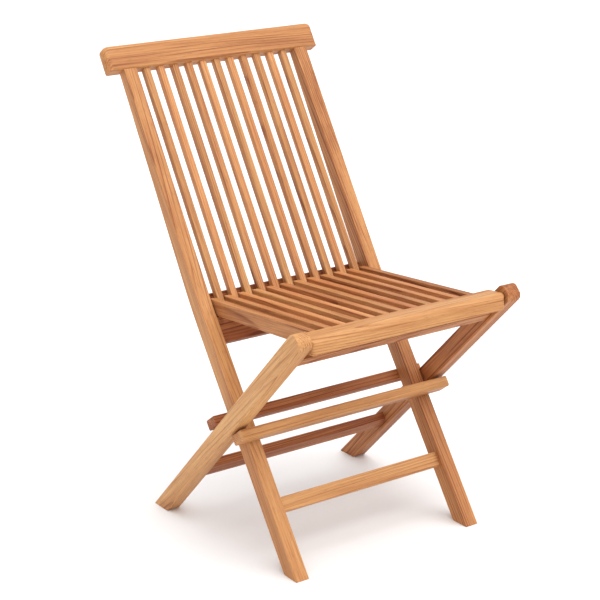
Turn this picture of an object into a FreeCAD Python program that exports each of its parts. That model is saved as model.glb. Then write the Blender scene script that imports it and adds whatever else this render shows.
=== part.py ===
import FreeCAD, Part
import math
import os

from FreeCAD import Vector

# A folding slatted chair in teak. +Z is up, -Y is the front, and left and right are as seen from the front.
# Lengths are in millimetres and angles in degrees. The side view is drawn from the foot of the stiles,
# and the finished pieces are then moved so that the origin is under the middle of the chair.

# Stiles: the two long uprights, from the front feet to the top rail
WIDTH_OVER_STILES = 410.0
STILE_WIDTH = 27.0
STILE_DEPTH = 35.0
STILE_TOP_DEPTH = 23.0
STILE_LENGTH = 1005.0
STILE_ANGLE = 34.19
BACK_ANGLE = 30.83
BEND_UP = 538.0
BEND_RADIUS = 900.0
FOOT_TOE_CUT = 1.5
FOOT_HEEL_CUT = 3.5

# Back: the top rail, the lower rail and the slats between them
TOP_RAIL_OVERHANG = 30.0
TOP_RAIL_HEIGHT = 51.0
TOP_RAIL_THICKNESS = 27.0
TOP_RAIL_CORNER = 11.0
TOP_RAIL_NOSE = 9.0
TOP_RAIL_CHIN = 5.0
TOP_RAIL_END = 9.0
BACK_SLATS = 11
SLAT_WIDTH = 13.0
BACK_SLAT_DEPTH = 13.5
BACK_SLAT_SETBACK = 6.5
LOWER_RAIL_HEIGHT = 50.0
LOWER_RAIL_THICKNESS = 20.0
LOWER_RAIL_DROP = 23.0
LOWER_RAIL_HEEL = 11.0
LIP_RISE = 28.0
LIP_GAP = 0.75

# Bars across the stiles that the legs lie against, and the stretcher near the front feet
CROSS_BAR_HEIGHT = 20.0
FRONT_BAR_DEPTH = 38.0
FRONT_BAR_OVERHANG = 26.3
REAR_BAR_DEPTH = 33.0
REAR_BAR_OVERHANG = 29.4
FRONT_STRETCHER_UP = 141.5
FRONT_STRETCHER_HEIGHT = 28.0
FRONT_STRETCHER_THICKNESS = 14.0

# Seat: slats that swing on the pivot rod, and the front rail that joins them
SEAT_PIVOT_UP = 529.0
SEAT_ANGLE = 3.75
SEAT_LENGTH = 385.0
SEAT_SLAT_HEIGHT = 28.5
SEAT_RAIL_DEPTH = 45.0
SEAT_RAIL_HEIGHT = 30.0
SEAT_RAIL_PROUD = 2.5
SEAT_RAIL_NOSE = 13.0
SEAT_RAIL_CORNER = 6.0

# Legs: the crossing frame, from the rear feet to the rail of the seat
LEG_PIVOT_UP = 299.1
LEG_TIP_PAST_SUPPORT = 68.1
LEG_WIDTH = 28.3
LEG_THICKNESS = 34.4
LEG_TIP_ROUND = 15.5
LEG_TIP_CROWN = 2.0
LEG_GAP = 3.8
SUPPORT_SETBACK = 59.5
SUPPORT_HEIGHT = 24.0
SUPPORT_THICKNESS = 20.0
REAR_STRETCHER_DOWN = 182.5
REAR_STRETCHER_HEIGHT = 40.0
REAR_STRETCHER_THICKNESS = 16.5

# Hardware and joints
PIVOT_ROD_RADIUS = 3.0
LEG_PIN_RADIUS = 4.0
WASHER_RADIUS = 10.0
DOWEL_RADIUS = 4.0
DOWEL_BITE = 16.0
TENON_DEPTH = 15.0
TENON_SHOULDER = 3.0
TENON_ROOT = 1.0
BLIND_END = 0.5
HARD_EDGE = 1.2
STILE_EDGE = 1.6
SOFT_EDGE = 2.5
SLAT_BEVEL = 0.8

# Clearances
TENON_FIT = 0.15
FIXED_FIT = 0.03
RUNNING_FIT = 0.06
STOP_GAP = 0.4
REST_GAP = 0.3
SEAT_SIDE_GAP = 3.2

# How little an edge may stray along X and still count as part of a side face
FLATNESS = 1e-6

STILE_OUTER = WIDTH_OVER_STILES / 2
STILE_INNER = STILE_OUTER - STILE_WIDTH
LEG_INNER = STILE_OUTER + LEG_GAP
LEG_OUTER = LEG_INNER + LEG_WIDTH


class Lean:
    """A frame in the side view: s runs up a leaning face, and t runs square to it towards the rear."""

    def __init__(self, foot, angle, start=0.0):
        self.foot = foot
        self.start = start
        self.up = Vector(0, math.sin(math.radians(angle)), math.cos(math.radians(angle)))
        self.back = Vector(0, math.cos(math.radians(angle)), -math.sin(math.radians(angle)))

    def at(self, s, t, x=0.0):
        return self.foot + self.up * (s - self.start) + self.back * t + Vector(x, 0, 0)


stile = Lean(Vector(0, 0, 0), STILE_ANGLE)
back = Lean(stile.at(BEND_UP, 0), BACK_ANGLE, BEND_UP)
slat_middle = BACK_SLAT_SETBACK + BACK_SLAT_DEPTH / 2
seat = Lean(back.at(SEAT_PIVOT_UP, slat_middle), SEAT_ANGLE - 90)

# The leg leans from its pivot so that the support's upper rear edge carries the seat behind its front.
support_half = SUPPORT_THICKNESS / 2
leg_pivot = stile.at(LEG_PIVOT_UP, STILE_DEPTH / 2)
to_support = seat.at(SEAT_LENGTH - SUPPORT_SETBACK, -SEAT_SLAT_HEIGHT / 2 - REST_GAP) - leg_pivot
support_top = math.sqrt(to_support.Length ** 2 - support_half ** 2)
support_bottom = support_top - SUPPORT_HEIGHT
leg_angle = math.degrees(math.atan2(-to_support.y, to_support.z) + math.atan2(support_half, support_top))
leg = Lean(leg_pivot, -leg_angle)


def outline(points, sizes, straight=()):
    """A closed outline. Each corner is rounded to its size, or cut off straight if its number is listed."""
    turns = []
    for i, corner in enumerate(points):
        before = (points[i - 1] - corner).normalize()
        after = (points[(i + 1) % len(points)] - corner).normalize()
        half_angle = before.getAngle(after) / 2
        run = sizes[i] if i in straight else sizes[i] / math.tan(half_angle)
        inward = (before + after).normalize()
        middle = corner + inward * (sizes[i] / math.sin(half_angle) - sizes[i])
        turns.append((corner + before * run, middle, corner + after * run))
    edges = []
    for i, (start, middle, end) in enumerate(turns):
        if i in straight:
            edges.append(Part.LineSegment(start, end).toShape())
        elif sizes[i] > 0:
            edges.append(Part.Arc(start, middle, end).toShape())
        edges.append(Part.LineSegment(end, turns[(i + 1) % len(turns)][0]).toShape())
    return Part.Wire(edges)


def prism(points, sizes, x_from, x_to, straight=()):
    """The outline in the side view, carried from one X to another."""
    face = Part.Face(outline(points, sizes, straight))
    face.translate(Vector(x_from, 0, 0))
    return face.extrude(Vector(x_to - x_from, 0, 0))


def bevelled_beam(frame, s_from, s_to, t_from, t_to, x_from, x_to, bevel):
    """A straight member along X, with its four long edges bevelled."""
    points = [frame.at(s_from, t_from), frame.at(s_to, t_from), frame.at(s_to, t_to), frame.at(s_from, t_to)]
    return prism(points, [bevel] * 4, x_from, x_to, range(4))


def bevelled_post(frame, s_from, s_to, t_from, t_to, x_from, x_to, bevel):
    """A straight member along the frame's s, with its four long edges bevelled."""
    points = [
        frame.at(s_from, t_from, x_from),
        frame.at(s_from, t_to, x_from),
        frame.at(s_from, t_to, x_to),
        frame.at(s_from, t_from, x_to),
    ]
    return Part.Face(outline(points, [bevel] * 4, range(4))).extrude(frame.up * (s_to - s_from))


def rounded_block(frame, s_span, t_span, x_span, side, face, end):
    """A block with rounded corners in three views: from the side, square to its face and along s."""
    low, high = s_span
    front, rear = t_span
    left, right = x_span
    at = frame.at
    side_points = [at(low, front, left), at(high, front, left), at(high, rear, left), at(low, rear, left)]
    face_points = [at(low, front, left), at(high, front, left), at(high, front, right), at(low, front, right)]
    end_points = [at(low, front, left), at(low, rear, left), at(low, rear, right), at(low, front, right)]
    body = Part.Face(outline(side_points, side)).extrude(Vector(right - left, 0, 0))
    body = body.common(Part.Face(outline(face_points, face)).extrude(frame.back * (rear - front)))
    return body.common(Part.Face(outline(end_points, end)).extrude(frame.up * (high - low)))


def tenon(frame, s_from, s_to, t_from, t_to, x_from, x_to, fit=0.0):
    """A tenon, or with a fit the mortise that takes it."""
    low = s_from - fit
    high = s_to + fit
    front = t_from - fit
    rear = t_to + fit
    points = [frame.at(low, front), frame.at(high, front), frame.at(high, rear), frame.at(low, rear)]
    return prism(points, [0] * 4, x_from - fit, x_to + fit)


def rod(frame, s, t, x_from, x_to, radius):
    """A round rod or hole along X."""
    return Part.makeCylinder(radius, x_to - x_from, frame.at(s, t, x_from), Vector(1, 0, 0))


def on_side(edge):
    """True for an edge of a side face, which keeps one X along its whole length."""
    return edge.BoundBox.XLength < FLATNESS


def mirrored(shape):
    """The same piece on the other side of the chair."""
    return shape.mirror(Vector(0, 0, 0), Vector(1, 0, 0))


def both_sides(shape):
    """A piece for the right side with its twin on the left, as one group."""
    return Part.makeCompound([mirrored(shape), shape])


def slat_places(count, between, width):
    """Middles of slats that are spread with equal gaps between the inner faces of the stiles."""
    gap = (2 * between - count * width) / (count + 1)
    return [-between + gap + width / 2 + i * (gap + width) for i in range(count)]


# Slats of the back have equal gaps, and each slat of the seat swings in the middle of one gap.
back_slat_x = slat_places(BACK_SLATS, STILE_INNER, SLAT_WIDTH)
back_slat_pitch = back_slat_x[1] - back_slat_x[0]
seat_slat_x = [back_slat_x[0] - back_slat_pitch / 2 + i * back_slat_pitch for i in range(BACK_SLATS + 1)]

# The lower rail of the back stays below the swing of the seat's rear ends, and its lip rises behind them.
lower_rail_top = SEAT_PIVOT_UP - LOWER_RAIL_DROP
lower_rail_bottom = lower_rail_top - LOWER_RAIL_HEIGHT
lower_rail_front = slat_middle - LOWER_RAIL_THICKNESS / 2
lower_rail_back = slat_middle + LOWER_RAIL_THICKNESS / 2
lip_top = SEAT_PIVOT_UP + LIP_RISE
lip_front = slat_middle + SEAT_SLAT_HEIGHT / 2 + LIP_GAP

# Tenons of the back slats, the stiles and the rails
slat_tenon_half_width = SLAT_WIDTH / 2 - TENON_SHOULDER
slat_tenon_half_depth = BACK_SLAT_DEPTH / 2 - TENON_SHOULDER
stile_middle_x = STILE_OUTER - STILE_WIDTH / 2
stile_tenon_half_width = STILE_WIDTH / 2 - 2 * TENON_SHOULDER
stile_tenon_half_depth = STILE_TOP_DEPTH / 2 - 2 * TENON_SHOULDER

# The bars stand where the open leg lies against their edges, at the front below it and at the rear above it.
opening = math.radians(STILE_ANGLE + leg_angle)
stop_reach = LEG_THICKNESS / 2 + STOP_GAP
stop_offset = (stop_reach - STILE_DEPTH / 2 * math.cos(opening)) / math.sin(opening)
front_bar_top = LEG_PIVOT_UP - stop_offset
rear_bar_bottom = LEG_PIVOT_UP + stop_offset
front_bar_middle = front_bar_top - CROSS_BAR_HEIGHT / 2
rear_bar_middle = rear_bar_bottom + CROSS_BAR_HEIGHT / 2

seat_rail_back = SEAT_LENGTH - SEAT_RAIL_DEPTH
seat_rail_top = SEAT_SLAT_HEIGHT / 2 + SEAT_RAIL_PROUD
seat_rail_bottom = seat_rail_top - SEAT_RAIL_HEIGHT
seat_tenon_half = SEAT_SLAT_HEIGHT / 2 - 2 * TENON_SHOULDER


def stile_dowels(fit):
    """Dowels that hold the two cross bars to the right stile."""
    radius = DOWEL_RADIUS + fit
    reach = DOWEL_BITE + (BLIND_END if fit else 0)
    front = Part.makeCylinder(radius, 2 * reach, stile.at(front_bar_middle, -reach, stile_middle_x), stile.back)
    rear_foot = stile.at(rear_bar_middle, STILE_DEPTH - reach, stile_middle_x)
    rear = Part.makeCylinder(radius, 2 * reach, rear_foot, stile.back)
    return front, rear


def leg_pin(fit):
    """The pin between the right stile and the right leg, or with a fit its hole."""
    slack = BLIND_END if fit else 0
    end = LEG_INNER + LEG_WIDTH / 2 + slack
    return rod(leg, 0, 0, stile_middle_x - slack, end, LEG_PIN_RADIUS + fit)


def pivot_rod(fit):
    """The rod that the seat swings on, or with a fit its hole."""
    reach = stile_middle_x + (BLIND_END if fit else 0)
    return rod(seat, 0, 0, -reach, reach, PIVOT_ROD_RADIUS + fit)


def front_stretcher_tenon(fit):
    low = FRONT_STRETCHER_UP - FRONT_STRETCHER_HEIGHT / 2 + TENON_SHOULDER
    high = FRONT_STRETCHER_UP + FRONT_STRETCHER_HEIGHT / 2 - TENON_SHOULDER
    front = STILE_DEPTH / 2 - FRONT_STRETCHER_THICKNESS / 2 + TENON_SHOULDER
    rear = STILE_DEPTH / 2 + FRONT_STRETCHER_THICKNESS / 2 - TENON_SHOULDER
    reach = STILE_INNER + TENON_DEPTH
    return tenon(stile, low, high, front, rear, -reach, reach, fit)


def lower_rail_tenon(fit):
    low = lower_rail_bottom + 2 * TENON_SHOULDER
    high = lower_rail_top - 2 * TENON_SHOULDER
    front = lower_rail_front + 2 * TENON_SHOULDER
    rear = lower_rail_back - 2 * TENON_SHOULDER
    reach = STILE_INNER + TENON_DEPTH
    return tenon(back, low, high, front, rear, -reach, reach, fit)


def stile_top_tenon(fit):
    """The tenon on top of the right stile."""
    front = STILE_TOP_DEPTH / 2 - stile_tenon_half_depth
    rear = STILE_TOP_DEPTH / 2 + stile_tenon_half_depth
    left = stile_middle_x - stile_tenon_half_width
    right = stile_middle_x + stile_tenon_half_width
    root = STILE_LENGTH - TENON_ROOT
    return tenon(back, root, STILE_LENGTH + 2 * TENON_DEPTH, front, rear, left, right, fit)


def back_slat_tenons(x, fit):
    """A tenon that runs the whole length of a back slat and stands out of both ends."""
    low = lower_rail_top - TENON_DEPTH
    high = STILE_LENGTH + TENON_DEPTH
    front = slat_middle - slat_tenon_half_depth
    rear = slat_middle + slat_tenon_half_depth
    return tenon(back, low, high, front, rear, x - slat_tenon_half_width, x + slat_tenon_half_width, fit)


def seat_slat_tenon(x, fit):
    root = seat_rail_back - TENON_ROOT
    end = seat_rail_back + TENON_DEPTH
    left = x - slat_tenon_half_width
    right = x + slat_tenon_half_width
    return tenon(seat, root, end, -seat_tenon_half, seat_tenon_half, left, right, fit)


def support_tenon(fit):
    low = support_bottom + TENON_SHOULDER
    high = support_top - TENON_SHOULDER
    reach = LEG_INNER + TENON_DEPTH
    inset = support_half - 2 * TENON_SHOULDER
    return tenon(leg, low, high, -inset, inset, -reach, reach, fit)


def rear_stretcher_tenon(fit):
    low = -REAR_STRETCHER_DOWN - REAR_STRETCHER_HEIGHT / 2 + 2 * TENON_SHOULDER
    high = -REAR_STRETCHER_DOWN + REAR_STRETCHER_HEIGHT / 2 - 2 * TENON_SHOULDER
    inset = REAR_STRETCHER_THICKNESS / 2 - TENON_SHOULDER
    reach = LEG_INNER + TENON_DEPTH
    return tenon(leg, low, high, -inset, inset, -reach, reach, fit)


def right_stile():
    """A stile with a foot cut flat on the floor, a soft bend at the seat and a back that thins upwards."""
    heel = STILE_DEPTH * math.tan(math.radians(STILE_ANGLE))
    points = [
        stile.at(0, 0),
        stile.at(BEND_UP, 0),
        back.at(STILE_LENGTH, 0),
        back.at(STILE_LENGTH, STILE_TOP_DEPTH),
        back.at(BEND_UP, STILE_DEPTH),
        stile.at(heel, STILE_DEPTH),
    ]
    sizes = [FOOT_TOE_CUT, BEND_RADIUS, 0, 0, BEND_RADIUS, FOOT_HEEL_CUT]
    body = prism(points, sizes, STILE_INNER, STILE_OUTER, (0, 5))

    # The long edges are softened, and the short ones at the foot and the top stay as they are cut.
    long_edges = [edge for edge in body.Edges if on_side(edge) and edge.Length > 2 * STILE_DEPTH]
    body = body.makeFillet(STILE_EDGE, long_edges).fuse(stile_top_tenon(0))
    cuts = [front_stretcher_tenon(TENON_FIT), lower_rail_tenon(TENON_FIT)]
    cuts += [pivot_rod(FIXED_FIT), leg_pin(FIXED_FIT)]
    cuts += stile_dowels(FIXED_FIT)
    return body.cut(cuts)


def top_rail():
    """The top rail, with its upper corners well rounded and its upper front edge softened most."""
    reach = STILE_OUTER + TOP_RAIL_OVERHANG
    body = rounded_block(
        back,
        (STILE_LENGTH, STILE_LENGTH + TOP_RAIL_HEIGHT),
        (0, TOP_RAIL_THICKNESS),
        (-reach, reach),
        side=[TOP_RAIL_CHIN, TOP_RAIL_NOSE, SOFT_EDGE, HARD_EDGE],
        face=[HARD_EDGE, TOP_RAIL_CORNER, TOP_RAIL_CORNER, HARD_EDGE],
        end=[TOP_RAIL_END, HARD_EDGE, HARD_EDGE, TOP_RAIL_END],
    )
    cuts = [back_slat_tenons(x, TENON_FIT) for x in back_slat_x]
    cuts += [stile_top_tenon(TENON_FIT), mirrored(stile_top_tenon(TENON_FIT))]
    return body.cut(cuts)


def back_slat(x):
    """A back slat between the two rails, with the hole for the pivot rod near its foot."""
    sides = (x - SLAT_WIDTH / 2, x + SLAT_WIDTH / 2)
    rear = BACK_SLAT_SETBACK + BACK_SLAT_DEPTH
    body = bevelled_post(back, lower_rail_top, STILE_LENGTH, BACK_SLAT_SETBACK, rear, *sides, SLAT_BEVEL)
    return body.fuse(back_slat_tenons(x, 0)).cut(pivot_rod(FIXED_FIT))


def lower_rail():
    """The rail under the back slats, with a lip behind the seat's rear ends, tenoned into both stiles."""
    points = [
        back.at(lower_rail_bottom, lower_rail_front),
        back.at(lower_rail_top, lower_rail_front),
        back.at(lower_rail_top, lip_front),
        back.at(lip_top, lip_front),
        back.at(lip_top, STILE_DEPTH),
        back.at(lower_rail_bottom, STILE_DEPTH),
    ]
    sizes = [HARD_EDGE, HARD_EDGE, 0, HARD_EDGE, HARD_EDGE, LOWER_RAIL_HEEL]
    body = prism(points, sizes, -STILE_INNER, STILE_INNER, (0, 1, 3, 4, 5)).fuse(lower_rail_tenon(0))
    return body.cut([back_slat_tenons(x, TENON_FIT) for x in back_slat_x])


def cross_bar(middle, front, rear, overhang):
    """A bar across the two stiles, with soft long edges and bevelled ends that reach past the legs."""
    low = middle - CROSS_BAR_HEIGHT / 2
    high = middle + CROSS_BAR_HEIGHT / 2
    reach = STILE_OUTER + overhang
    points = [stile.at(low, front), stile.at(high, front), stile.at(high, rear), stile.at(low, rear)]
    body = prism(points, [SOFT_EDGE] * 4, -reach, reach)
    body = body.makeChamfer(HARD_EDGE, [edge for edge in body.Edges if on_side(edge)])
    dowels = stile_dowels(FIXED_FIT)
    return body.cut(list(dowels) + [mirrored(dowel) for dowel in dowels])


def front_stretcher():
    """The stretcher between the stiles, near the front feet."""
    low = FRONT_STRETCHER_UP - FRONT_STRETCHER_HEIGHT / 2
    high = FRONT_STRETCHER_UP + FRONT_STRETCHER_HEIGHT / 2
    front = STILE_DEPTH / 2 - FRONT_STRETCHER_THICKNESS / 2
    rear = STILE_DEPTH / 2 + FRONT_STRETCHER_THICKNESS / 2
    body = bevelled_beam(stile, low, high, front, rear, -STILE_INNER, STILE_INNER, SLAT_BEVEL)
    return body.fuse(front_stretcher_tenon(0))


def washer():
    """The ring in the gap between the right stile and the right leg."""
    thickness = LEG_GAP - STOP_GAP
    ring = rod(leg, 0, 0, STILE_OUTER, STILE_OUTER + thickness, WASHER_RADIUS)
    return ring.cut(rod(leg, 0, 0, STILE_OUTER, STILE_OUTER + thickness, LEG_PIN_RADIUS + FIXED_FIT))


def seat_slat(x):
    """A seat slat, with a rear end half round about the pivot rod and a tenon in the front rail."""
    half = SEAT_SLAT_HEIGHT / 2
    left = x - SLAT_WIDTH / 2
    right = x + SLAT_WIDTH / 2
    body = bevelled_post(seat, -half, seat_rail_back, -half, half, left, right, SLAT_BEVEL)
    upper = seat.at(0, half, left)
    lower = seat.at(0, -half, left)
    front_corners = [lower, seat.at(seat_rail_back, -half, left), seat.at(seat_rail_back, half, left), upper]
    rear_end = Part.Arc(upper, seat.at(-half, 0, left), lower).toShape()
    side = Part.Face(Part.Wire([rear_end] + Part.makePolygon(front_corners).Edges))
    body = body.common(side.extrude(Vector(SLAT_WIDTH, 0, 0)))
    return body.fuse(seat_slat_tenon(x, 0)).cut(pivot_rod(RUNNING_FIT))


def seat_rail():
    """The front rail of the seat, with a rounded nose, a little proud of the slats."""
    reach = LEG_INNER - SEAT_SIDE_GAP
    body = rounded_block(
        seat,
        (seat_rail_back, SEAT_LENGTH),
        (seat_rail_bottom, seat_rail_top),
        (-reach, reach),
        side=[HARD_EDGE, SOFT_EDGE, SEAT_RAIL_NOSE, HARD_EDGE],
        face=[HARD_EDGE, SEAT_RAIL_CORNER, SEAT_RAIL_CORNER, HARD_EDGE],
        end=[HARD_EDGE] * 4,
    )
    return body.cut([seat_slat_tenon(x, TENON_FIT) for x in seat_slat_x])


def leg_piece(x_from, x_to, pin_hole):
    """A leg with a rounded and crowned tip beside the seat, and a foot cut flat on the floor."""
    half = LEG_THICKNESS / 2
    middle = -leg.foot.z / leg.up.z
    heel = middle + half * leg.back.z / leg.up.z
    toe = middle - half * leg.back.z / leg.up.z
    tip = support_top + LEG_TIP_PAST_SUPPORT
    points = [leg.at(heel, -half), leg.at(tip, -half), leg.at(tip, half), leg.at(toe, half)]
    sizes = [FOOT_HEEL_CUT, LEG_TIP_ROUND, LEG_TIP_ROUND, FOOT_TOE_CUT]
    body = rounded_block(
        leg,
        (min(toe, heel), tip),
        (-half, half),
        (x_from, x_to),
        side=[0] * 4,
        face=[0, LEG_TIP_CROWN, LEG_TIP_CROWN, 0],
        end=[SOFT_EDGE] * 4,
    )
    body = body.common(prism(points, sizes, x_from, x_to, (0, 3)))
    return body.cut([support_tenon(TENON_FIT), rear_stretcher_tenon(TENON_FIT), pin_hole])


def seat_support():
    """The stretcher between the tops of the legs, which the seat lies on."""
    faces = (-support_half, support_half)
    body = bevelled_beam(leg, support_bottom, support_top, *faces, -LEG_INNER, LEG_INNER, SLAT_BEVEL)
    return body.fuse(support_tenon(0))


def rear_stretcher():
    """The stretcher between the legs, near the rear feet."""
    low = -REAR_STRETCHER_DOWN - REAR_STRETCHER_HEIGHT / 2
    high = -REAR_STRETCHER_DOWN + REAR_STRETCHER_HEIGHT / 2
    half = REAR_STRETCHER_THICKNESS / 2
    body = bevelled_beam(leg, low, high, -half, half, -LEG_INNER, LEG_INNER, SLAT_BEVEL)
    return body.fuse(rear_stretcher_tenon(0))


pieces = {
    "stile_right": right_stile(),
    "stile_left": mirrored(right_stile()),
    "top_rail": top_rail(),
    "lower_back_rail": lower_rail(),
    "front_cross_bar": cross_bar(front_bar_middle, -FRONT_BAR_DEPTH, 0, FRONT_BAR_OVERHANG),
    "rear_cross_bar": cross_bar(rear_bar_middle, STILE_DEPTH, STILE_DEPTH + REAR_BAR_DEPTH, REAR_BAR_OVERHANG),
    "front_stretcher": front_stretcher(),
    "seat_pivot_rod": pivot_rod(0),
    "leg_pivot_pins": both_sides(leg_pin(0)),
    "leg_pivot_washers": both_sides(washer()),
    "cross_bar_dowels": Part.makeCompound([both_sides(dowel) for dowel in stile_dowels(0)]),
    "seat_front_rail": seat_rail(),
    "leg_right": leg_piece(LEG_INNER, LEG_OUTER, leg_pin(RUNNING_FIT)),
    "leg_left": leg_piece(-LEG_OUTER, -LEG_INNER, mirrored(leg_pin(RUNNING_FIT))),
    "seat_support": seat_support(),
    "rear_stretcher": rear_stretcher(),
}
for number, x in enumerate(back_slat_x, start=1):
    pieces["back_slat_%02d" % number] = back_slat(x)
for number, x in enumerate(seat_slat_x, start=1):
    pieces["seat_slat_%02d" % number] = seat_slat(x)

# The origin is on the floor, under the middle of the chair's length.
box = Part.makeCompound(list(pieces.values())).optimalBoundingBox(True, False)
to_origin = Vector(0, -(box.YMin + box.YMax) / 2, 0)

os.makedirs("parts", exist_ok=True)
for name, shape in pieces.items():
    shape.translate(to_origin)
    shape.exportStep("parts/%s.step" % name)
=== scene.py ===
import math
from random import Random

import bmesh
import bpy
from mathutils import Euler, Matrix, Vector


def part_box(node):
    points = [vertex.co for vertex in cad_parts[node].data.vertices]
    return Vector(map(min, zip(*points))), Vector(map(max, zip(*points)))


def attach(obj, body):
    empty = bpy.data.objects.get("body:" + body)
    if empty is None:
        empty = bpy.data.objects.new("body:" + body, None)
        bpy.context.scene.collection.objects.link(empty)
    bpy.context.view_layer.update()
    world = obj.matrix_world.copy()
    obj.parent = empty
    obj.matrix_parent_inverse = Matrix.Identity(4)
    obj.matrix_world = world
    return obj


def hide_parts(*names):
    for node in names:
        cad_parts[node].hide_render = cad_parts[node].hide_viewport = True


# A folding slatted chair in teak, in a plain pale studio. Metres, +Z up, the chair faces -Y.

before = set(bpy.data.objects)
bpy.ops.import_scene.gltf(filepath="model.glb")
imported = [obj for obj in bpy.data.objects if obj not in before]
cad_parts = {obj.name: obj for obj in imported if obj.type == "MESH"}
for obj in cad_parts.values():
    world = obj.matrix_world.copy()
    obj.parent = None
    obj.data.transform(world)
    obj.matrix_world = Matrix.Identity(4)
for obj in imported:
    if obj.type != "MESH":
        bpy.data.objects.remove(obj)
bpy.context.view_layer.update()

# The photograph's viewpoint: its place, its turn about X, Y and Z in degrees, and its lens and sensor in mm
CAMERA_PLACE = (-1.6277, -2.4896, 1.3305)
CAMERA_TURN = (73.006, 1.744, -33.488)
CAMERA_LENS = 99.5
CAMERA_SENSOR = 36.0

# Lean of the chair's members in the side view, in degrees from upright, towards the back above zero: the
# stiles below their bend, the back, the legs and the seat, whose slats rise to the front by its slope
STILE_LEAN = 34.19
BACK_LEAN = 30.83
LEG_LEAN = -46.96
SEAT_SLOPE = 3.75
SEAT_LEAN = SEAT_SLOPE - 90

# Rounding of the top rail's edges along the rail, across its ends and up its ends, in metres, and the
# number of flats in one rounding
RAIL_ALONG = {"top front": 0.009, "top rear": 0.005, "low front": 0.005, "low rear": 0.002}
RAIL_END_ACROSS = {"top": 0.012, "low": 0.004}
RAIL_END_UPRIGHT = {"front": 0.012, "rear": 0.008}
RAIL_LARGEST = max(*RAIL_ALONG.values(), *RAIL_END_ACROSS.values(), *RAIL_END_UPRIGHT.values())
RAIL_FLATS = 6

# The log that a piece is cut from: the least and the greatest distance of its heart from the middle of the
# piece, in metres, the most that its axis tilts from the grain, in radians, and its length in metres
HEART_DISTANCE = (0.045, 0.095)
LOG_TILT = 0.03
LOG_LENGTH = 5

# Where the log's heart lies from a piece, in degrees about its grain. It is above a level piece and to the
# left of a leaning one at 0, and in front at 90.
HEARTS = {
    "top_rail": 105,
    "seat_front_rail": 15,
    "lower_back_rail": 90,
    "stile_left": 60,
    "stile_right": 150,
    "leg_left": 25,
    "leg_right": 200,
    "front_stretcher": 190,
}

# Other pieces have the heart on one side or the other of them. It swings from piece to piece by some degrees
# about that, on a sine whose step is in radians.
HEART_SPREAD = 20
HEART_STEP = 1.7

# The tone of each piece or row of slats, darker above zero, and its redness, golden below zero. The darker,
# redder tones of the lower back rail, the rear cross bar, the rear stretcher, the right leg and the seat
# support are painted shade, standing for the shade under the seat.
TONES_AND_SHADE = {
    "stile_left": (-0.02, 0.3),
    "stile_right": (0.05, 0.4),
    "top_rail": (0.0, 0.3),
    "lower_back_rail": (0.32, 1.2),
    "seat_front_rail": (-0.02, 0.0),
    "front_cross_bar": (0.02, 0.2),
    "rear_cross_bar": (0.28, 1.0),
    "front_stretcher": (-0.14, 0.0),
    "rear_stretcher": (0.28, 1.2),
    "seat_support": (0.10, 0.6),
    "cross_bar_dowels": (0.0, 0.0),
    "leg_left": (-0.14, 0.0),
    "leg_right": (0.12, 0.9),
    "seat_slat": (0.0, 0.8),
    "back_slat": (-0.02, 0.3),
}

# How much the tone and the redness vary from slat to slat, and the steps of their sines, in radians
TONE_SPREAD = 0.10
TONE_STEP = 2.4
REDNESS_SPREAD = 0.8
REDNESS_STEP = 3.9

# How much one unit of redness takes from the green and from the blue of a colour
GREEN_LOSS = 0.10
BLUE_LOSS = 0.12

# Teak from pale to dark, and its open pores
TEAK_SHADES = [
    (0.0, (0.670, 0.374, 0.155)),
    (0.15, (0.590, 0.303, 0.117)),
    (0.42, (0.470, 0.207, 0.074)),
    (0.75, (0.270, 0.087, 0.029)),
    (1.0, (0.150, 0.041, 0.015)),
]
TEAK_PORE = (0.110, 0.040, 0.018)

# Noises: about how many spots there are in a metre along X, Y and Z, and their detail. The wood's grain
# runs along Z and the steel's scratches along X.
BENDS = ((16, 16, 2.2), 1.5)
RING_PATCHES = ((120, 120, 1.5), 0.0)
TONE_PATCHES = ((34, 34, 2.0), 1.0)
STREAKS = ((430, 430, 8), 4.0)
PORES = ((1500, 1500, 60), 0.0)
SCRATCHES = ((20, 900, 900), 2.0)

# Growth rings: their spacing and the size of their bends, in metres
RING_SPACING = 0.0042
RING_BEND = 0.016

# How dark a ring is, from its first wood to the thin dark line of its last
RING_PROFILE = [(0.0, 0.40), (0.10, 0.0), (0.66, 0.08), (0.92, 0.95), (1.0, 1.0)]

# The noise at which a ring is faint, and at which it is strong
FAINT_RING = 0.36
STRONG_RING = 0.62

# The wave texture's own factor on a distance
WAVE_FACTOR = 20

# How much the patches, the streaks and the rings darken the wood, and what is taken off their sum
PATCH_DARKNESS = 0.70
STREAK_DARKNESS = 0.80
RING_DARKNESS = 0.37
PALENESS = 0.40

# The noise at which an open pore begins, and at which it is whole, and how much of its colour shows
PORE_EDGE = 0.66
PORE_WHOLE = 0.76
PORE_AMOUNT = 0.35

# The surface of the bare wood: its roughness from pale to dark, its gloss, and the strength of its relief
# and its depth in metres
TEAK_ROUGHNESS = (0.44, 0.62)
TEAK_SPECULAR = 0.25
RELIEF_STRENGTH = 0.12
RELIEF_DEPTH = 0.0006

# The hidden hardware: its pieces, its shades and its roughness from dark to bright
STEEL_PIECES = ("seat_pivot_rod", "leg_pivot_pins", "leg_pivot_washers")
STEEL_SHADES = [(0.3, (0.50, 0.50, 0.51)), (0.7, (0.66, 0.66, 0.67))]
STEEL_ROUGHNESS = (0.28, 0.42)

# The floor: its size in metres, its colour and its roughness
FLOOR_SIZE = 40
FLOOR_COLOUR = (0.86, 0.86, 0.86)
FLOOR_ROUGHNESS = 0.9

# Light: an even white surround, and the strength, focus and direction of the soft lights in it, which are a
# broad key from the front and above, a fill from the left, and a backdrop behind the chair
SURROUND = 0.12
KEY = (3.8, 4.0, (0.12, -0.48, 1.0))
FILL = (0.75, 2.0, (-1.0, 0.05, 0.25))
BACKDROP = (0.8, 1.0, (0.75, 0.85, 0.05))

# The step from node to node where a material's nodes stand in a row
NODE_STEP = 200


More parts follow.
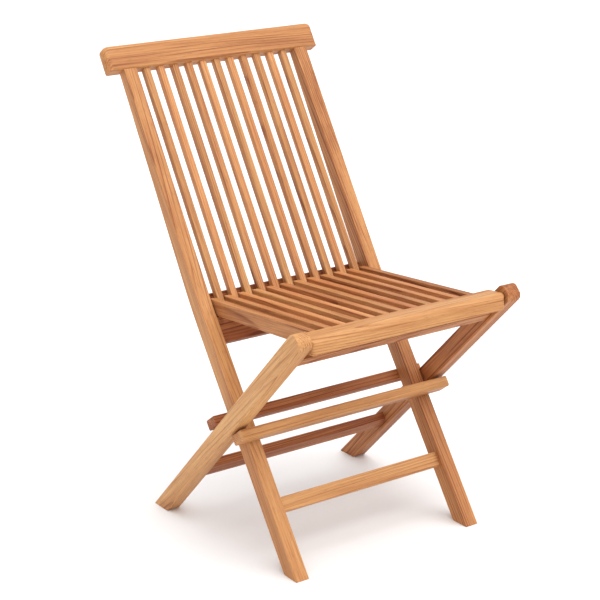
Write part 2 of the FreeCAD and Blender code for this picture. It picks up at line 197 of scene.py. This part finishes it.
def feed(tree, made, inputs):
    """Each input of a node is linked to a socket, or set to a number, a colour or a vector."""
    for name, value in inputs.items():
        if isinstance(value, bpy.types.NodeSocket):
            tree.links.new(value, made.inputs[name])
        else:
            made.inputs[name].default_value = value


def node(tree, kind, inputs, **settings):
    """A new shader node, with its properties set and its inputs fed."""
    made = tree.nodes.new(kind)
    made.location.x = NODE_STEP * len(tree.nodes)
    for name, value in settings.items():
        setattr(made, name, value)
    feed(tree, made, inputs)
    return made


def computed(tree, operation, *values):
    """The result of a math node on sockets and numbers."""
    return node(tree, "ShaderNodeMath", dict(enumerate(values)), operation=operation).outputs["Value"]


def ramp(tree, value, stops):
    """The colour at a value, from (position, colour) stops."""
    made = node(tree, "ShaderNodeValToRGB", {"Fac": value})
    elements = made.color_ramp.elements
    first, *middle, last = stops
    for element, (position, colour) in zip(elements, (first, last)):
        element.position = position
        element.color = (*colour, 1)
    for position, colour in middle:
        elements.new(position).color = (*colour, 1)
    return made.outputs["Color"]


def grey(level):
    """A grey colour, from 0 for black to 1 for white."""
    return level, level, level


def redder(colour, amount):
    """A colour moved towards red, or towards gold below zero."""
    red, green, blue = colour
    return red, green * (1 - GREEN_LOSS * amount), blue * (1 - BLUE_LOSS * amount)


def stretched_noise(tree, space, scale, detail):
    """Noise that is stretched along the grain or along the scratches."""
    stretched = node(tree, "ShaderNodeMapping", {"Vector": space, "Scale": scale}).outputs["Vector"]
    return node(tree, "ShaderNodeTexNoise", {"Vector": stretched, "Scale": 1.0, "Detail": detail})


def new_material(name):
    """A new material and its shader."""
    material = bpy.data.materials.new(name)
    material.use_nodes = True
    return material, material.node_tree.nodes["Principled BSDF"]


def grain_of(name):
    """The turn that brings a piece's grain to the local Z: along X, or up a member that leans."""
    leans = {"stile": STILE_LEAN, "leg": LEG_LEAN, "back_slat": BACK_LEAN, "seat_slat": SEAT_LEAN}
    for start, lean in leans.items():
        if name.startswith(start):
            return Euler((math.radians(lean), 0, 0))
    return Euler((0, math.radians(-90), 0))


def heart_of(name, number):
    """Where the log's heart lies from a piece, in degrees about its grain."""
    side = 0 if number % 2 else 180
    return HEARTS.get(name, side + HEART_SPREAD * math.sin(HEART_STEP * number))


def tone_and_shade_of(name, number):
    """The tone and redness of a piece, which vary from slat to slat and are the same at each run, with
    painted shade in the darker, redder pieces under the seat.
    """
    family = name.rstrip("0123456789").rstrip("_")
    tone, redness = TONES_AND_SHADE[family]
    if family == name:
        return tone, redness
    tone += TONE_SPREAD * math.sin(TONE_STEP * number)
    redness += REDNESS_SPREAD * math.sin(REDNESS_STEP * number)
    return tone, redness


def log_space(tree, name, number):
    """Places in the log that a piece is cut from. The log's axis is the local Z, beside the piece."""
    random = Random(number)
    low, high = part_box(name)
    middle = (Vector(low) + Vector(high)) / 2
    heart = math.radians(heart_of(name, number))
    away = random.uniform(*HEART_DISTANCE)
    tilt = Euler((random.uniform(-LOG_TILT, LOG_TILT), random.uniform(-LOG_TILT, LOG_TILT), 0))
    rotation = tilt.to_matrix() @ grain_of(name).to_matrix()
    offset = Vector((away * math.cos(heart), away * math.sin(heart), random.uniform(0, LOG_LENGTH)))
    place = node(tree, "ShaderNodeTexCoord", {}).outputs["Object"]
    log = {"Vector": place, "Rotation": rotation.to_euler(), "Location": offset - rotation @ middle}
    return node(tree, "ShaderNodeMapping", log).outputs["Vector"]


def ring_lines(tree, wood):
    """The dark lines of the growth rings. Where their bends dip into a face, they draw long arches on it."""
    bends = stretched_noise(tree, wood, *BENDS).outputs["Color"]
    push = node(tree, "ShaderNodeVectorMath", {0: bends, "Scale": RING_BEND}, operation="SCALE")
    bent = node(tree, "ShaderNodeVectorMath", {0: wood, 1: push.outputs["Vector"]}, operation="ADD")
    waves = {"Vector": bent.outputs["Vector"], "Scale": 2 * math.pi / (WAVE_FACTOR * RING_SPACING)}
    kind = {"wave_type": "RINGS", "rings_direction": "Z", "wave_profile": "SAW"}
    rings = node(tree, "ShaderNodeTexWave", waves, **kind).outputs["Fac"]
    dark = ramp(tree, rings, [(position, grey(level)) for position, level in RING_PROFILE])

    # Some rings are strong and others faint.
    patches = stretched_noise(tree, bent.outputs["Vector"], *RING_PATCHES).outputs["Fac"]
    limits = {"Value": patches, "From Min": FAINT_RING, "From Max": STRONG_RING}
    strong = node(tree, "ShaderNodeMapRange", limits).outputs["Result"]
    return computed(tree, "MULTIPLY", dark, strong)


def open_pores(tree, wood):
    """Open pores as short dashes along the grain."""
    noise = stretched_noise(tree, wood, *PORES).outputs["Fac"]
    mask = ramp(tree, noise, [(PORE_EDGE, grey(0)), (PORE_WHOLE, grey(1))])
    return computed(tree, "MULTIPLY", mask, PORE_AMOUNT)


def roughness_of(tree, value, limits):
    """A roughness that goes from the first limit to the last as a value goes from 0 to 1."""
    smooth, rough = limits
    spread = {"Value": value, "To Min": smooth, "To Max": rough}
    return node(tree, "ShaderNodeMapRange", spread).outputs["Result"]


def teak(name, number):
    """Teak for one piece, with growth rings, patches, streaks and open pores along its grain."""
    material, shader = new_material("teak_" + name)
    tree = material.node_tree
    wood = log_space(tree, name, number)
    patches = stretched_noise(tree, wood, *TONE_PATCHES).outputs["Fac"]
    streaks = stretched_noise(tree, wood, *STREAKS).outputs["Fac"]
    rings = ring_lines(tree, wood)
    pores = open_pores(tree, wood)

    # The tone, the patches, the streaks and the rings add up to one darkness, which picks the shade.
    # For the pieces under the seat, the tone and redness also hold painted shade.
    tone, redness = tone_and_shade_of(name, number)
    darkness = computed(tree, "MULTIPLY_ADD", patches, PATCH_DARKNESS, tone - PALENESS)
    darkness = computed(tree, "MULTIPLY_ADD", streaks, STREAK_DARKNESS, darkness)
    darkness = computed(tree, "MULTIPLY_ADD", rings, RING_DARKNESS, darkness)
    shade = ramp(tree, darkness, [(position, redder(colour, redness)) for position, colour in TEAK_SHADES])
    mix = {"Factor": pores, "A": shade, "B": (*TEAK_PORE, 1)}

    # Darker grain is a little rougher, and the pores are sunk.
    height = computed(tree, "SUBTRACT", streaks, pores)
    relief = {"Height": height, "Strength": RELIEF_STRENGTH, "Distance": RELIEF_DEPTH}
    finish = {
        "Base Color": node(tree, "ShaderNodeMix", mix, data_type="RGBA").outputs["Result"],
        "Roughness": roughness_of(tree, darkness, TEAK_ROUGHNESS),
        "Normal": node(tree, "ShaderNodeBump", relief).outputs["Normal"],
        "Specular IOR Level": TEAK_SPECULAR,
    }
    feed(tree, shader, finish)
    return material


def steel():
    """Plain drawn steel for the hidden rod, pins and washers."""
    material, shader = new_material("drawn_steel")
    tree = material.node_tree
    place = node(tree, "ShaderNodeTexCoord", {}).outputs["Object"]
    scratches = stretched_noise(tree, place, *SCRATCHES).outputs["Fac"]
    finish = {
        "Base Color": ramp(tree, scratches, STEEL_SHADES),
        "Roughness": roughness_of(tree, scratches, STEEL_ROUGHNESS),
        "Metallic": 1.0,
    }
    feed(tree, shader, finish)
    return material


def finish_pieces():
    """Each piece gets teak of its own, and the hidden hardware gets steel."""
    drawn_steel = steel()
    for number, name in enumerate(sorted(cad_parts), start=1):
        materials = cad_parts[name].data.materials
        materials.clear()
        materials.append(drawn_steel if name in STEEL_PIECES else teak(name, number))


def rail_edge_radius(middle):
    """The rounding of one edge of the top rail, from the edge's middle in the rail's unit cube."""
    level = "top" if middle.z > 0 else "low"
    face = "front" if middle.y < 0 else "rear"
    if middle.x == 0:
        return RAIL_ALONG[level + " " + face]
    if middle.y == 0:
        return RAIL_END_ACROSS[level]
    return RAIL_END_UPRIGHT[face]


def rail_mesh(solid):
    """The top rail's leaning box, with how much each edge is rounded."""
    upright = Matrix.Rotation(math.radians(BACK_LEAN), 3, "X")
    corners = [upright @ vertex.co for vertex in solid.data.vertices]
    low = [min(axis) for axis in zip(*corners)]
    high = [max(axis) for axis in zip(*corners)]
    box = bmesh.new()
    bmesh.ops.create_cube(box, size=1.0)
    radii = [rail_edge_radius((edge.verts[0].co + edge.verts[1].co) / 2) for edge in box.edges]
    for vertex in box.verts:
        corner = [high[axis] if vertex.co[axis] > 0 else low[axis] for axis in range(3)]
        vertex.co = upright.inverted() @ Vector(corner)
    mesh = bpy.data.meshes.new("rounded_top_rail")
    box.to_mesh(mesh)
    box.free()
    weights = mesh.attributes.new("bevel_weight_edge", "FLOAT", "EDGE")
    weights.data.foreach_set("value", [radius / RAIL_LARGEST for radius in radii])
    mesh.shade_smooth()
    return mesh


def rounded_top_rail():
    """The top rail with its edges rounded all round, in the space of its solid."""
    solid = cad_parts["top_rail"]
    rail = bpy.data.objects.new("rounded_top_rail", rail_mesh(solid))
    rail.data.materials.append(solid.data.materials[0])
    bpy.context.scene.collection.objects.link(rail)
    rounding = rail.modifiers.new("rounding", "BEVEL")
    rounding.width = RAIL_LARGEST
    rounding.segments = RAIL_FLATS
    rounding.limit_method = "WEIGHT"
    rounding.harden_normals = True
    return rail


def floor():
    """A pale floor, far larger than the view."""
    bpy.ops.mesh.primitive_plane_add(size=FLOOR_SIZE)
    ground = bpy.context.object
    ground.name = "floor"
    material, shader = new_material("pale_floor")
    feed(material.node_tree, shader, {"Base Color": (*FLOOR_COLOUR, 1), "Roughness": FLOOR_ROUGHNESS})
    ground.data.materials.append(material)


def glow(tree, sky, light, total):
    """total + a soft light: the cosine of the angle from its direction, to the power of its focus."""
    strength, focus, direction = light
    aim = Vector(direction).normalized()
    facing = node(tree, "ShaderNodeVectorMath", {0: sky, 1: aim}, operation="DOT_PRODUCT").outputs["Value"]
    lobe = computed(tree, "POWER", computed(tree, "MAXIMUM", facing, 0.0), focus)
    return computed(tree, "MULTIPLY_ADD", lobe, strength, total)


def studio():
    """A white surround with the key, the fill and the backdrop in it, with soft shadows and no lamp."""
    world = bpy.data.worlds.new("studio")
    bpy.context.scene.world = world
    bpy.context.scene.view_settings.view_transform = "Standard"
    world.use_nodes = True
    tree = world.node_tree
    sky = node(tree, "ShaderNodeTexCoord", {}).outputs["Generated"]
    strength = SURROUND
    for light in (KEY, FILL, BACKDROP):
        strength = glow(tree, sky, light, strength)
    feed(tree, tree.nodes["Background"], {"Color": (1, 1, 1, 1), "Strength": strength})


def camera():
    """A camera at the photograph's viewpoint."""
    view = bpy.data.cameras.new("photo_view")
    view.sensor_width = CAMERA_SENSOR
    view.lens = CAMERA_LENS
    eye = bpy.data.objects.new("photo_view", view)
    turn = Euler([math.radians(angle) for angle in CAMERA_TURN])
    eye.matrix_world = Matrix.Translation(CAMERA_PLACE) @ turn.to_matrix().to_4x4()
    bpy.context.scene.collection.objects.link(eye)
    bpy.context.scene.camera = eye


finish_pieces()

top_rail = rounded_top_rail()
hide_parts("top_rail")
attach(top_rail, "back_frame")

floor()
studio()
camera()
